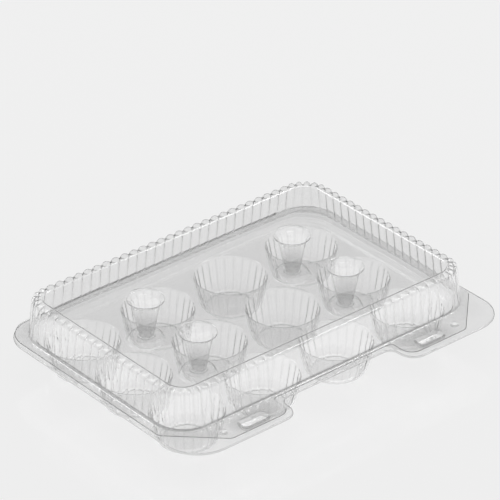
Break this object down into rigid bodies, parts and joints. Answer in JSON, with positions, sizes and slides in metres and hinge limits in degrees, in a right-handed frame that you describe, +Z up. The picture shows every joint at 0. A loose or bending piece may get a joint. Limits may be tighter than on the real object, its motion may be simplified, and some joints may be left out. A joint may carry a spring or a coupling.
{
  "type": "clear hinged egg carton",
  "caption": "Clear formed clamshell carton: a tray of round cells with a domed fluted lid on hollow posts, hinged along the back and snapped shut at two front tabs.",
  "frame": {"origin": "under the middle of the closed carton, on the plane that the cell floors stand on", "axes": "+X along the carton's long side, +Y to the hinge side, -Y to the front tabs, +Z up"},
  "size_m": [0.3448, 0.2556, 0.0708],
  "materials": {
    "tray_sheet": "clear gloss thermoformed sheet",
    "lid_sheet": "clear gloss thermoformed sheet"
  },
  "bodies": {
    "tray": {"cell_back_1": "tray_sheet", "cell_back_2": "tray_sheet", "cell_back_3": "tray_sheet", "cell_back_4": "tray_sheet", "cell_front_1": "tray_sheet", "cell_front_2": "tray_sheet", "cell_front_3": "tray_sheet", "cell_front_4": "tray_sheet", "cell_middle_1": "tray_sheet", "cell_middle_2": "tray_sheet", "cell_middle_3": "tray_sheet", "cell_middle_4": "tray_sheet", "living_hinge": "tray_sheet", "lock_pocket_left": "tray_sheet", "lock_pocket_right": "tray_sheet", "post_seat_back_left": "tray_sheet", "post_seat_back_right": "tray_sheet", "post_seat_front_left": "tray_sheet", "post_seat_front_right": "tray_sheet", "tray_deck": "tray_sheet", "tray_flange": "tray_sheet", "tray_step_wall": "tray_sheet"},
    "lid": {"lid_flange": "lid_sheet", "lid_panel": "lid_sheet", "lid_post_back_left": "lid_sheet", "lid_post_back_right": "lid_sheet", "lid_post_front_left": "lid_sheet", "lid_post_front_right": "lid_sheet", "lid_wall": "lid_sheet", "lock_button_left": "lid_sheet", "lock_button_right": "lid_sheet"}
  },
  "joints": [
    {"name": "lid_hinge", "type": "hinge", "parent": "tray", "child": "lid", "pos_m": [0, 0.12735, 0.03535], "axis": [-1, 0, 0], "range_deg": [0, 180]}
  ]
}
